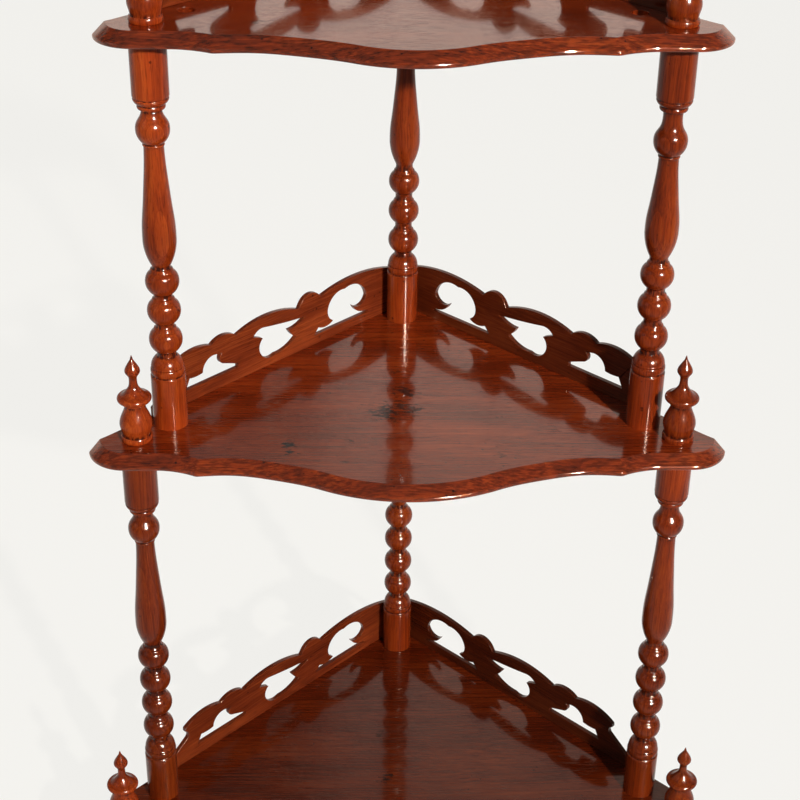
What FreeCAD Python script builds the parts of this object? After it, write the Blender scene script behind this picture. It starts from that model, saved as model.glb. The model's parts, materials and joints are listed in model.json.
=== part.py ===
import FreeCAD, Part
import math
import os

# A corner whatnot in solid mahogany: three shelves held apart by turned columns, with a finial over
# each front column, a pierced fretwork gallery along both back edges and three turned feet.
# Lengths are in millimetres. +Z is up, the back corner points to +Y and the bowed fronts to -Y.
# The origin lies on the floor, under the middle of the space that the stand takes up.
# Plan places are given as x, sideways from the middle, and depth, forwards from the back corner.

Vector = FreeCAD.Vector
UP = Vector(0, 0, 1)
INWARDS = Vector(-1, 0, 0)
ROOT_TWO = math.sqrt(2)
FULL_TURN = 360
EIGHTH_TURN = 45

# Heights of the whole stand
foot_height = 97.0
board_thickness = 13.0
lower_bay = 458.0
upper_bay = 405.0

# Half the distance between the front feet, and how far the front posts over each shelf stand in from
# those under it. The last is for a further tier, whose empty sockets are in the top shelf.
foot_half_span = 311.0
lower_step_in = 39.0
upper_step_in = 31.0
next_step_in = 33.0

# Places of the post axes
wall_offset = 25.0
back_axis_depth = 41.0

# Dowel joints: every tenon and peg is turned to one size
dowel_diameter = 16.0
dowel_clearance = 0.2
socket_depth = 25.0
end_gap = 1.0

# Shelf outline, measured from the axis of the finial that stands on it
tip_out = 47.2
ear_out = 36.0
ear_forward = 31.0
ear_front_out = 12.0
ear_front_forward = 41.5
ogee_start_in = 26.0
ogee_in = 45.5
ogee_forward = 45.5
cusp_in = 62.0
cusp_forward = 53.0
dip_in = 98.0
dip_forward = 51.0
rise_in = 140.0
rise_forward = 60.0
shoulder_in = 185.0
shoulder_forward = 77.0

# Moulded edge of the shelves
bevel_width = 12.5
bevel_drop = 9.0
nose_round = 2.5
under_round = 1.5

# Turned columns
column_diameter = 35.0
base_length = 57.5
groove_depth = 1.3
groove_width = 2.0
ring_diameter = 34.6
ring_height = 7.2
bead_diameter = 33.0
bead_height = 2.8
dome_diameter = 32.6
dome_height = 10.2
neck_diameter = 19.4
neck_height = 4.3
ball_diameter = 33.4
ball_height = 27.0
ball_neck_diameter = 20.0
ball_neck_height = 6.5
vase_diameter = 32.8
vase_rise = 24.2
taper_diameter = 19.4
collar_diameter = 22.2
collar_height = 2.2
top_ball_diameter = 32.4
top_ball_height = 28.2
top_neck_diameter = 19.6
top_neck_height = 8.1
disc_diameter = 27.0
disc_height = 4.6
shoulder_diameter = 34.2
shoulder_height = 5.6
shoulder_groove_width = 1.2
top_length = 57.4
top_length_round = 1.6
lower_ball_count = 4
upper_ball_count = 3
ring_bulge = 0.9

# Finials
finial_ring_diameter = 32.0
finial_ring_height = 6.0
urn_foot_diameter = 28.4
urn_diameter = 32.8
urn_top_diameter = 20.0
urn_height = 34.5
lip_diameter = 26.0
lip_height = 3.5
saucer_diameter = 34.4
saucer_rim_diameter = 30.8
saucer_height = 6.0
stem_rise = 18.0
stem_diameter = 8.0
bulb_diameter = 15.2
bulb_height = 27.0

# Feet
toe_diameter = 21.0
toe_ring_diameter = 24.0
toe_ring_height = 5.0
foot_vase_diameter = 35.0
foot_vase_height = 50.0
foot_neck_diameter = 21.6
foot_neck_height = 3.4
foot_ring_diameter = 33.6
foot_ring_height = 5.0

# Fretwork galleries, and how far short of the finial's axis each one ends
gallery_thickness = 5.5
gallery_height = 64.0
gallery_inset = 1.5
bottom_gallery_gap = 77.8
middle_gallery_gap = 36.7
top_gallery_gap = 6.8

# Countersunk screws that hold the galleries from below
screw_length = 25.0
screw_diameter = 2.6
screw_head_diameter = 5.2
screw_head_height = 2.2
screw_slot_width = 0.8
screw_slot_depth = 0.8
screw_point_length = 4.0
screw_clearance = 0.15
screw_hole_clearance = 0.4

# Every cut runs this far past what it cuts
overrun = 2.0

# Edges count as level, or as lying on a back edge, when they are this near to it
nearness = 0.1

# Outlines as shares: of a gallery's length and height, or of the size that a curve follows.
# A step with one point is a straight line, and one with two is an arc through the first to the second.
crest_start_shares = (0.0, 0.73)
crest_step_shares = [
    [(0.235, 0.977), (0.350, 0.867)],
    [(0.356, 0.906)],
    [(0.407, 1.0), (0.435, 0.875)],
    [(0.442, 0.8125)],
    [(0.585, 0.956), (0.688, 0.828)],
    [(0.694, 0.867)],
    [(0.738, 0.940), (0.774, 0.883)],
    [(0.781, 0.855)],
    [(0.822, 0.910), (0.926, 0.760)],
    [(0.927, 0.687)],
    [(0.915, 0.612), (0.923, 0.507)],
    [(1.0, 0.179)],
    [(1.0, 0.0)],
]
inner_opening_shares = [
    [(0.150, 0.167)],
    [(0.380, 0.175)],
    [(0.362, 0.290)],
    [(0.335, 0.245), (0.300, 0.305)],
    [(0.318, 0.405), (0.322, 0.545)],
    [(0.302, 0.740), (0.250, 0.810)],
    [(0.180, 0.735), (0.157, 0.510)],
    [(0.170, 0.400), (0.216, 0.420)],
    [(0.200, 0.290), (0.165, 0.215)],
]
middle_opening_shares = [
    [(0.417, 0.615)],
    [(0.497, 0.670), (0.585, 0.755)],
    [(0.608, 0.730), (0.623, 0.655)],
    [(0.603, 0.610), (0.586, 0.560)],
    [(0.600, 0.445), (0.597, 0.295)],
    [(0.580, 0.185), (0.540, 0.168)],
    [(0.490, 0.205), (0.456, 0.313)],
    [(0.475, 0.410), (0.485, 0.505)],
    [(0.452, 0.520), (0.417, 0.615)],
]
outer_opening_shares = [
    [(0.686, 0.235)],
    [(0.882, 0.235)],
    [(0.866, 0.420)],
    [(0.840, 0.405), (0.817, 0.420)],
    [(0.803, 0.595), (0.770, 0.650)],
    [(0.746, 0.625)],
    [(0.754, 0.520), (0.741, 0.425)],
    [(0.712, 0.360), (0.686, 0.300)],
]
gallery_screw_shares = [0.058, 0.395, 0.640, 0.935]
crown_rise_share = 0.25
cusp_slope_share = -0.12
taper_curve_shares = [(0.17, 0.95), (0.37, 0.66), (0.58, 0.38), (0.80, 0.11)]
urn_curve_shares = [(0.32, 1.0), (0.62, 0.66), (0.88, 0.10)]
stem_curve_shares = [(0.27, 0.40), (0.56, 0.09)]
bulb_curve_shares = [(0.12, 0.62), (0.31, 1.0), (0.54, 0.78), (0.74, 0.36), (0.89, 0.15)]
foot_curve_shares = [(0.25, 0.22), (0.55, 0.78)]
foot_belly_share = 0.74
dome_mid_share = 0.62
dome_height_share = 0.60
vase_mid_share = 0.76
vase_height_share = 0.55
shoulder_mid_share = 0.66
shoulder_mid_height_share = 0.34
ball_groove_share = 0.92
neck_groove_share = 0.95

# Every column is turned by hand to one pattern, and keeps to it only nearly. These are the shares of the
# pattern's lengths in each: of the plain base, the necks between balls, the top ball's neck, the plain top.
turning_shares = {
    "lower_left": (1.03, 0.87, 0.93, 1.08),
    "lower_right": (0.935, 1.08, 1.31, 0.93),
    "lower_back": (1.0, 1.05, 1.0, 1.0),
    "upper_left": (0.99, 0.73, 0.72, 1.0),
    "upper_right": (1.05, 1.06, 2.0, 0.99),
    "upper_back": (1.0, 1.23, 1.0, 1.0),
}


def axis_depth(half_span):
    """Depth of a front post whose axis keeps its distance from the back edge behind it."""
    return half_span + wall_offset * ROOT_TWO


def crown_depth(half_span):
    """Depth of the foremost point of a shelf, in the middle of its bowed front."""
    run = half_span - shoulder_in
    return axis_depth(half_span) + shoulder_forward + crown_rise_share * run


def gallery_length(half_span, gap):
    """Length of a gallery, from the face of its neighbour in the corner towards the finial's axis."""
    return half_span * ROOT_TWO + wall_offset - gallery_inset - gallery_thickness - gap


lower_half_span = foot_half_span - lower_step_in
upper_half_span = lower_half_span - upper_step_in
next_half_span = upper_half_span - next_step_in
back_corner = crown_depth(foot_half_span) / 2
post_radius = column_diameter / 2
dowel_radius = dowel_diameter / 2
socket_radius = dowel_radius + dowel_clearance
peg_length = board_thickness + socket_depth - end_gap


def place(x, depth, height=0):
    """A point of the stand from its sideways place, its depth and its height."""
    return Vector(x, back_corner - depth, height)


def moved(shape, x, depth, height):
    """A copy of a turned piece, stood on its axis."""
    copy = shape.copy()
    copy.translate(place(x, depth, height))
    return copy


class Pen:
    """Draws one closed outline in the plane y = 0, from a start point along lines, arcs and curves."""

    def __init__(self, x, z):
        self.start = Vector(x, 0, z)
        self.at = self.start
        self.edges = []

    def line(self, x, z):
        end = Vector(x, 0, z)
        self.edges.append(Part.LineSegment(self.at, end).toShape())
        self.at = end

    def arc(self, via_x, via_z, x, z):
        end = Vector(x, 0, z)
        self.edges.append(Part.Arc(self.at, Vector(via_x, 0, via_z), end).toShape())
        self.at = end

    def curve(self, points, leaving=UP):
        """A smooth curve through the points, upright at its end."""
        through = [self.at] + [Vector(x, 0, z) for x, z in points]
        spline = Part.BSplineCurve()
        spline.interpolate(Points=through, InitialTangent=leaving, FinalTangent=UP)
        self.edges.append(spline.toShape())
        self.at = through[-1]

    def bead(self, side_radius, peak_radius, height):
        """A half-round ring standing on the pen's height."""
        if self.at.x != side_radius:
            self.line(side_radius, self.at.z)
        self.arc(peak_radius, self.at.z + height / 2, side_radius, self.at.z + height)

    def face(self):
        if self.at != self.start:
            self.line(self.start.x, self.start.z)
        return Part.Face(Part.Wire(self.edges))

    def turned(self):
        """The solid that the outline sweeps on one full turn about the upright axis."""
        return self.face().revolve(Vector(0, 0, 0), UP, FULL_TURN)


def shared_curve(pen, height, start_radius, end_radius, shares, leaving=UP):
    """A curve from one radius to another over a height, through points given as shares of both."""
    bottom = pen.at.z
    points = []
    for height_share, radius_share in shares:
        radius = end_radius + (start_radius - end_radius) * radius_share
        points.append((radius, bottom + height * height_share))
    points.append((end_radius, bottom + height))
    pen.curve(points, leaving)


def socket_end(pen):
    """The flat top of a post, with the blind socket that takes a peg from above."""
    top = pen.at.z
    pen.line(socket_radius, top)
    pen.line(socket_radius, top - socket_depth)
    pen.line(0, top - socket_depth)


def column(length, ball_count, tenon_length, shares):
    """A turned column, from the tenon under its plain base to the socket in its plain top.

    The slender taper over the vase takes up what the length leaves.
    """
    ring_side = ring_diameter / 2 - ring_bulge
    bead_side = bead_diameter / 2 - ring_bulge
    neck_radius = neck_diameter / 2
    ball_neck_radius = ball_neck_diameter / 2
    vase_radius = vase_diameter / 2
    taper_radius = taper_diameter / 2
    top_neck_radius = top_neck_diameter / 2
    disc_side = disc_diameter / 2 - ring_bulge
    shoulder_radius = shoulder_diameter / 2
    groove_radius = post_radius - groove_depth
    base_share, ball_neck_share, top_neck_share, top_share = shares
    base = base_length * base_share
    ball_neck = ball_neck_height * ball_neck_share
    top_neck = top_neck_height * top_neck_share

    pen = Pen(0, -tenon_length)
    pen.line(dowel_radius, -tenon_length)
    pen.line(dowel_radius, 0)
    pen.line(post_radius, 0)
    pen.line(post_radius, base)
    pen.line(groove_radius, base + groove_depth)
    pen.line(groove_radius, base + groove_width)
    pen.bead(ring_side, ring_diameter / 2, ring_height)
    pen.bead(bead_side, bead_diameter / 2, bead_height)

    dome_foot = pen.at.z
    dome_radius = dome_diameter / 2
    pen.line(dome_radius, dome_foot)
    dome_mid = neck_radius + (dome_radius - neck_radius) * dome_mid_share
    pen.arc(dome_mid, dome_foot + dome_height * dome_height_share, neck_radius, dome_foot + dome_height)
    pen.line(neck_radius, pen.at.z + neck_height)

    for ball in range(ball_count):
        pen.bead(ball_neck_radius, ball_diameter / 2, ball_height)
        pen.bead(ball_neck_radius, ball_neck_radius * ball_groove_share, ball_neck)

    vase_mid = ball_neck_radius + (vase_radius - ball_neck_radius) * vase_mid_share
    vase_foot = pen.at.z
    pen.arc(vase_mid, vase_foot + vase_rise * vase_height_share, vase_radius, vase_foot + vase_rise)

    round_foot = length - top_length * top_share
    shoulder_foot = round_foot - shoulder_groove_width - shoulder_height
    taper_top = shoulder_foot - disc_height - top_neck - top_ball_height - collar_height
    shared_curve(pen, taper_top - pen.at.z, vase_radius, taper_radius, taper_curve_shares)

    pen.bead(top_neck_radius, collar_diameter / 2, collar_height)
    pen.bead(top_neck_radius, top_ball_diameter / 2, top_ball_height)
    pen.bead(top_neck_radius, top_neck_radius * neck_groove_share, top_neck)
    pen.bead(disc_side, disc_diameter / 2, disc_height)
    shoulder_mid = disc_side + (shoulder_radius - disc_side) * shoulder_mid_share
    pen.arc(shoulder_mid, shoulder_foot + shoulder_height * shoulder_mid_height_share,
            shoulder_radius, shoulder_foot + shoulder_height)
    pen.line(groove_radius, pen.at.z)
    pen.line(groove_radius, round_foot)
    rounding = math.sin(math.radians(EIGHTH_TURN)) * top_length_round
    pen.line(post_radius - top_length_round, round_foot)
    pen.arc(post_radius - top_length_round + rounding, round_foot + top_length_round - rounding,
            post_radius, round_foot + top_length_round)
    pen.line(post_radius, length)
    socket_end(pen)
    return pen.turned()


def finial():
    """A turned finial: a peg through the shelf, a ring, an urn, a saucer and a pointed bulb."""
    ring_side = finial_ring_diameter / 2 - ring_bulge
    pen = Pen(0, -peg_length)
    pen.line(dowel_radius, -peg_length)
    pen.line(dowel_radius, 0)
    pen.bead(ring_side, finial_ring_diameter / 2, finial_ring_height)

    pen.line(urn_foot_diameter / 2, pen.at.z)
    urn_points = []
    urn_foot = pen.at.z
    for height_share, radius_share in urn_curve_shares:
        radius = (urn_top_diameter + (urn_diameter - urn_top_diameter) * radius_share) / 2
        urn_points.append((radius, urn_foot + urn_height * height_share))
    urn_points.append((urn_top_diameter / 2, urn_foot + urn_height))
    pen.curve(urn_points)

    pen.bead(lip_diameter / 2 - ring_bulge, lip_diameter / 2, lip_height)
    pen.bead(saucer_rim_diameter / 2, saucer_diameter / 2, saucer_height)
    shared_curve(pen, stem_rise, saucer_rim_diameter / 2, stem_diameter / 2, stem_curve_shares, INWARDS)

    bulb_points = []
    bulb_foot = pen.at.z
    for height_share, radius_share in bulb_curve_shares:
        bulb_points.append((bulb_diameter / 2 * radius_share, bulb_foot + bulb_height * height_share))
    pen.curve(bulb_points)
    pen.line(0, bulb_foot + bulb_height)
    return pen.turned()


def foot():
    """A turned foot that stands on the floor, with the socket for the peg or tenon from above."""
    neck_radius = foot_neck_diameter / 2
    ring_side = foot_ring_diameter / 2 - ring_bulge
    toe_radius = toe_diameter / 2
    pen = Pen(0, 0)
    pen.line(toe_radius, 0)
    pen.bead(toe_radius, toe_ring_diameter / 2, toe_ring_height)

    vase_foot = pen.at.z
    belly_rise = foot_vase_height * foot_belly_share
    vase_radius = foot_vase_diameter / 2
    points = []
    for height_share, radius_share in foot_curve_shares:
        radius = toe_radius + (vase_radius - toe_radius) * radius_share
        points.append((radius, vase_foot + belly_rise * height_share))
    points.append((vase_radius, vase_foot + belly_rise))
    pen.curve(points)
    shoulder = foot_vase_height - belly_rise
    via_radius = neck_radius + (vase_radius - neck_radius) * vase_mid_share
    via_height = pen.at.z + shoulder * (1 - vase_height_share)
    pen.arc(via_radius, via_height, neck_radius, vase_foot + foot_vase_height)

    pen.bead(neck_radius, neck_radius * ball_groove_share, foot_neck_height)
    pen.bead(ring_side, foot_ring_diameter / 2, foot_ring_height)
    pen.line(post_radius - groove_depth, pen.at.z)
    pen.line(post_radius - groove_depth, pen.at.z + groove_depth)
    pen.line(post_radius, pen.at.z + groove_depth)
    pen.line(post_radius, foot_height)
    socket_end(pen)
    return pen.turned()


def gallery_screw():
    """A slotted countersunk screw, its head's flat face at height zero and its point upwards."""
    shank = screw_diameter / 2
    pen = Pen(0, 0)
    pen.line(screw_head_diameter / 2, 0)
    pen.line(shank, screw_head_height)
    pen.line(shank, screw_length - screw_point_length)
    pen.line(0, screw_length)
    slot_length = screw_head_diameter + overrun
    slot = Part.makeBox(slot_length, screw_slot_width, screw_slot_depth + overrun,
                        Vector(-slot_length / 2, -screw_slot_width / 2, -overrun))
    return pen.turned().cut(slot)


def screw_hole():
    """What a screw needs cut in a shelf: a clear hole with a countersink at the underside."""
    head_radius = screw_head_diameter / 2 + screw_clearance
    hole_radius = screw_diameter / 2 + screw_hole_clearance
    pen = Pen(0, -overrun)
    pen.line(head_radius, -overrun)
    pen.line(head_radius, 0)
    pen.line(hole_radius, screw_head_height)
    pen.line(hole_radius, board_thickness + overrun)
    pen.line(0, board_thickness + overrun)
    return pen.turned()


def pilot_hole():
    """What a screw needs cut in a gallery that stands on the shelf."""
    reach = screw_length - board_thickness + screw_clearance
    hole = Part.makeCylinder(screw_diameter / 2 + screw_clearance, reach + overrun)
    hole.translate(Vector(0, 0, -overrun))
    return hole


def shelf_outline(half_span):
    """The closed outline of a shelf: two straight back edges, two ears and the serpentine front."""
    depth = axis_depth(half_span)

    def at(side, outwards, forwards):
        return place(side * (half_span + outwards), depth + forwards)

    crown = Part.Arc(at(1, -shoulder_in, shoulder_forward), place(0, crown_depth(half_span)),
                     at(-1, -shoulder_in, shoulder_forward)).toShape()

    def half(side):
        """The edges of one side, from the back corner round the ear and the cusp to the crown."""
        tip = place(side * (half_span + tip_out), half_span + tip_out)
        front = at(side, ear_front_out, ear_front_forward)
        ogee_start = at(side, -ogee_start_in, ear_front_forward)
        cusp = at(side, -cusp_in, cusp_forward)
        shoulder = at(side, -shoulder_in, shoulder_forward)
        spoke = shoulder - crown.Curve.Center
        into_crown = Vector(-side * abs(spoke.y), -abs(spoke.x), 0)
        serpentine = Part.BSplineCurve()
        serpentine.interpolate(
            Points=[cusp, at(side, -dip_in, dip_forward), at(side, -rise_in, rise_forward), shoulder],
            InitialTangent=Vector(-side, -cusp_slope_share, 0),
            FinalTangent=into_crown)
        return [
            Part.LineSegment(place(0, 0), tip).toShape(),
            Part.Arc(tip, at(side, ear_out, ear_forward), front).toShape(),
            Part.LineSegment(front, ogee_start).toShape(),
            Part.Arc(ogee_start, at(side, -ogee_in, ogee_forward), cusp).toShape(),
            serpentine.toShape(),
        ]

    return Part.Wire(Part.__sortEdges__(half(1) + [crown] + half(-1)))


def front_edges(solid, height):
    """The level edges at a height, without the two straight ones at the back."""
    found = []
    for edge in solid.Edges:
        if any(abs(vertex.Z - height) > nearness for vertex in edge.Vertexes):
            continue
        middle = edge.valueAt((edge.FirstParameter + edge.LastParameter) / 2)
        if abs(abs(middle.x) - (back_corner - middle.y)) > nearness:
            found.append(edge)
    return found


def gallery_frame(shape, side):
    """Turns a piece from the plane y = 0 into the plane of the left or right gallery's face.

    Before, x runs from the corner outwards and y through the gallery towards the wall.
    """
    turned = shape.copy()
    turned.rotate(Vector(0, 0, 0), UP, -EIGHTH_TURN)
    turned.translate(place(0, (gallery_inset + gallery_thickness) * ROOT_TWO))
    if side < 0:
        turned = turned.mirror(Vector(0, 0, 0), Vector(1, 0, 0))
    return turned


def gallery_start(side):
    """Where a gallery begins: the right one runs through to the corner, the left one butts against it."""
    return -gallery_thickness if side > 0 else 0


def gallery_screws(length, side):
    """The places of one gallery's screws, in the frame before it is turned."""
    start = gallery_start(side)
    return [Vector(start + share * length, gallery_thickness / 2, 0) for share in gallery_screw_shares]


def shelf(half_span, post_half_span, fret_length):
    """A shelf with its moulded edge, the holes for posts and finials, and its screw holes."""
    board = Part.Face(shelf_outline(half_span)).extrude(UP * board_thickness)
    board = board.makeChamfer(bevel_drop, bevel_width, front_edges(board, board_thickness))
    board = board.makeFillet(nose_round, front_edges(board, board_thickness - bevel_drop))
    board = board.makeFillet(under_round, front_edges(board, 0))

    hole = Part.makeCylinder(socket_radius, board_thickness + overrun + overrun)
    cuts = [moved(hole, 0, back_axis_depth, -overrun)]
    for side in (-1, 1):
        for span in (half_span, post_half_span):
            cuts.append(moved(hole, side * span, axis_depth(span), -overrun))
        for spot in gallery_screws(fret_length, side):
            drilled = screw_hole()
            drilled.translate(spot)
            cuts.append(gallery_frame(drilled, side))
    return board.cut(cuts)


def share_outline(start, steps, length, height):
    """A face drawn from shares of a length and a height."""
    pen = Pen(start[0] * length, start[1] * height)
    for step in steps:
        sizes = [size for x, z in step for size in (x * length, z * height)]
        if len(step) == 1:
            pen.line(*sizes)
        else:
            pen.arc(*sizes)
    return pen.face()


def gallery(length, side):
    """A pierced fretwork board on edge."""
    away = Vector(0, gallery_thickness, 0)
    board = share_outline((0, 0), [[crest_start_shares]] + crest_step_shares, length, gallery_height)
    board = board.extrude(away)
    openings = []
    for shares in (inner_opening_shares, middle_opening_shares, outer_opening_shares):
        opening = share_outline(shares[0][0], shares[1:], length, gallery_height)
        opening.translate(Vector(0, -overrun, 0))
        openings.append(opening.extrude(away + Vector(0, overrun + overrun, 0)))
    board = board.cut(openings)
    board.translate(Vector(gallery_start(side), 0, 0))
    holes = []
    for spot in gallery_screws(length, side):
        hole = pilot_hole()
        hole.translate(spot)
        holes.append(hole)
    return gallery_frame(board.cut(holes), side)


def screw_group(length):
    """All screws of one shelf as separate solids."""
    screws = []
    for side in (-1, 1):
        for spot in gallery_screws(length, side):
            screw = gallery_screw()
            screw.translate(spot)
            screws.append(gallery_frame(screw, side))
    return screws


def raised(shape, height):
    """A copy of a piece, lifted to its height."""
    copy = shape.copy()
    copy.translate(UP * height)
    return copy


bottom_level = foot_height
middle_level = bottom_level + board_thickness + lower_bay
top_level = middle_level + board_thickness + upper_bay

# Each shelf: its name, the height of its underside, the half span of its finials, the half span of
# the posts that stand on it, and how far short of the finials its galleries end
shelves = [
    ("bottom", bottom_level, foot_half_span, lower_half_span, bottom_gallery_gap),
    ("middle", middle_level, lower_half_span, upper_half_span, middle_gallery_gap),
    ("top", top_level, upper_half_span, next_half_span, top_gallery_gap),
]
sides = [("left", -1), ("right", 1)]
pieces = {}

for level_name, level, half_span, post_half_span, gallery_gap in shelves:
    fret_length = gallery_length(half_span, gallery_gap)
    pieces["shelf_" + level_name] = raised(shelf(half_span, post_half_span, fret_length), level)
    screws = [raised(screw, level) for screw in screw_group(fret_length)]
    pieces["screws_" + level_name] = Part.Compound(screws)
    surface = level + board_thickness
    for side_name, side in sides:
        pieces[f"gallery_{level_name}_{side_name}"] = raised(gallery(fret_length, side), surface)
        pieces[f"finial_{level_name}_{side_name}"] = moved(
            finial(), side * half_span, axis_depth(half_span), surface)

# Each bay: its name, the height of the shelf under it, its clear height, the half span of its front
# columns and the number of balls on each of its columns
bays = [
    ("lower", bottom_level + board_thickness, lower_bay, lower_half_span, lower_ball_count),
    ("upper", middle_level + board_thickness, upper_bay, upper_half_span, upper_ball_count),
]
for bay_name, floor, length, half_span, ball_count in bays:
    for side_name, side in sides:
        post_name = f"{bay_name}_{side_name}"
        post = column(length, ball_count, board_thickness - end_gap, turning_shares[post_name])
        pieces["column_" + post_name] = moved(post, side * half_span, axis_depth(half_span), floor)
    post_name = bay_name + "_back"
    post = column(length, ball_count, peg_length, turning_shares[post_name])
    pieces["column_" + post_name] = moved(post, 0, back_axis_depth, floor)

for side_name, side in sides:
    pieces["foot_" + side_name] = moved(foot(), side * foot_half_span, axis_depth(foot_half_span), 0)
pieces["foot_back"] = moved(foot(), 0, back_axis_depth, 0)

os.makedirs("parts", exist_ok=True)
for name, piece in pieces.items():
    piece.exportStep(f"parts/{name}.step")
    print(name, len(piece.Solids), "solid" if len(piece.Solids) == 1 else "solids", piece.isValid())
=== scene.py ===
import json
import math

import bmesh
import bpy
import numpy as np
from mathutils import Matrix, Vector
from mathutils.geometry import tessellate_polygon

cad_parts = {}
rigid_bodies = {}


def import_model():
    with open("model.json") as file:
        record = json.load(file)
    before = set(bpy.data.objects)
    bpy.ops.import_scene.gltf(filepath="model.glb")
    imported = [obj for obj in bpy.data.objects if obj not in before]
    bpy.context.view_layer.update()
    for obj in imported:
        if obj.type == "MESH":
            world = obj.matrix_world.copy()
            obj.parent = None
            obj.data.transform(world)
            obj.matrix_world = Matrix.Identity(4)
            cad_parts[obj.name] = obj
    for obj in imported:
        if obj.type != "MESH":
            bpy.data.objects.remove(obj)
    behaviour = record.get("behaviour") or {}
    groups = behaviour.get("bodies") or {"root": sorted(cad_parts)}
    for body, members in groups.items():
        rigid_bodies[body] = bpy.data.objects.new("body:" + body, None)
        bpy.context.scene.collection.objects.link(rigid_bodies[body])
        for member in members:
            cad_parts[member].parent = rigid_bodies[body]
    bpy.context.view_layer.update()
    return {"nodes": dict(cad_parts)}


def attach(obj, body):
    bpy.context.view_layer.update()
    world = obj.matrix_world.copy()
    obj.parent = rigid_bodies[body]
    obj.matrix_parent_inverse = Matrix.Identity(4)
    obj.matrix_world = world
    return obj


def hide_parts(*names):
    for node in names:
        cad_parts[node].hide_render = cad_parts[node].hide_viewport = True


# THE STAND
# A corner whatnot in varnished mahogany. Its solids arrive at their real size and place, in metres, with
# +Z up and the back corner towards +Y. Every piece made here is worked out in millimetres in that same frame.
for thing in list(bpy.data.objects):
    bpy.data.objects.remove(thing)
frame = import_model()
scene = bpy.context.scene


# THE VIEWPOINT
# A person on their feet looks down at the stand from in front and a little to its left, through a long
# lens, with the head tilted slightly.
look_down = math.radians(30.05)
look_right = math.radians(1.84)
head_tilt = math.radians(0.91)
camera_data = bpy.data.cameras.new("viewpoint")
camera_data.sensor_width = 36
camera_data.lens = 75.72
camera_data.clip_end = 100
camera = bpy.data.objects.new("viewpoint", camera_data)
eye = Matrix.Translation((-0.0557, -1.5255, 1.4618))
heading = Matrix.Rotation(-look_right, 4, "Z") @ Matrix.Rotation(math.pi / 2 - look_down, 4, "X")
camera.matrix_world = eye @ heading @ Matrix.Rotation(head_tilt, 4, "Z")
scene.collection.objects.link(camera)
scene.camera = camera


# THE FLOOR
# A pale, matt studio floor in painted board that runs out of sight all round. To the eye and in polish it
# is nearly white behind the stand and greyer in front of it, and it keeps the stand's shadow.
def node(tree, kind, settings=None, **inputs):
    """Adds a shader node, sets its options, and gives each named input a value or a link."""
    made = tree.nodes.new(kind)
    for key, value in (settings or {}).items():
        setattr(made, key, value)
    for key, value in inputs.items():
        socket = made.inputs[key.replace("_", " ")]
        if isinstance(value, bpy.types.NodeSocket):
            tree.links.new(value, socket)
        else:
            socket.default_value = value
    return made


def calc(tree, operation, *values):
    """The output of a Math node with these values or links as its inputs."""
    made = tree.nodes.new("ShaderNodeMath")
    made.operation = operation
    for socket, value in zip(made.inputs, values):
        if isinstance(value, bpy.types.NodeSocket):
            tree.links.new(value, socket)
        else:
            socket.default_value = value
    return made.outputs[0]


def new_material(name):
    """An empty node material and its Principled shader, wired to the output."""
    material = bpy.data.materials.new(name)
    material.use_nodes = True
    tree = material.node_tree
    tree.nodes.clear()
    shader = node(tree, "ShaderNodeBsdfPrincipled")
    node(tree, "ShaderNodeOutputMaterial", Surface=shader.outputs["BSDF"])
    return material, tree, shader


metres_per_millimetre = 0.001


def mesh_object(name, points, faces, normals=None, grain=None, **marks):
    """A smooth-shaded object from points in millimetres and arrays of faces that index them.

    Points that share a place become one, and a face that then has a corner twice loses the second. Normals
    are kept as given at each face's corners, so an edge stays crisp where two of them differ. The grain and
    the marks, which are named values from 0 up, go to the points as attributes.
    """
    places, first, merged = np.unique(np.round(points, 4), axis=0, return_index=True, return_inverse=True)
    merged = merged.ravel()
    corners, sources, sizes = [], [], []
    for rows in faces:
        shared = merged[rows]
        again = shared == np.roll(shared, -1, axis=1)
        for lost in range(rows.shape[1] - 2):
            chosen = again.sum(axis=1) == lost
            kept = ~again[chosen]
            corners.append(shared[chosen][kept])
            sources.append(rows[chosen][kept])
            sizes.append(np.full(chosen.sum(), rows.shape[1] - lost))
    corners, sources, sizes = (np.concatenate(parts) for parts in (corners, sources, sizes))
    data = bpy.data.meshes.new(name)
    data.vertices.add(len(places))
    data.vertices.foreach_set("co", (points[first] * metres_per_millimetre).astype(np.float32).ravel())
    data.loops.add(len(corners))
    data.loops.foreach_set("vertex_index", corners.astype(np.int32))
    data.polygons.add(len(sizes))
    data.polygons.foreach_set("loop_start", (np.cumsum(sizes) - sizes).astype(np.int32))
    data.polygons.foreach_set("use_smooth", np.ones(len(sizes), bool))
    data.update(calc_edges=True)
    if normals is not None:
        data.normals_split_custom_set(normals[sources].tolist())
    if grain is not None:
        data.attributes.new("grain", "FLOAT_VECTOR", "POINT").data.foreach_set(
            "vector", (grain[first] * metres_per_millimetre).astype(np.float32).ravel())
    for label, values in marks.items():
        data.attributes.new(label, "FLOAT", "POINT").data.foreach_set("value", values[first].astype(np.float32))
    made = bpy.data.objects.new(name, data)
    scene.collection.objects.link(made)
    return made


def grid_faces(rows, columns, closed):
    """Quads between neighbours of a grid of points. A closed grid's last column joins its first."""
    i, j = np.meshgrid(np.arange(rows - 1), np.arange(columns - (not closed)), indexing="ij")
    after = (j + 1) % columns
    return np.stack([i * columns + j, i * columns + after, (i + 1) * columns + after, (i + 1) * columns + j],
                    axis=-1).reshape(-1, 4)


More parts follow.
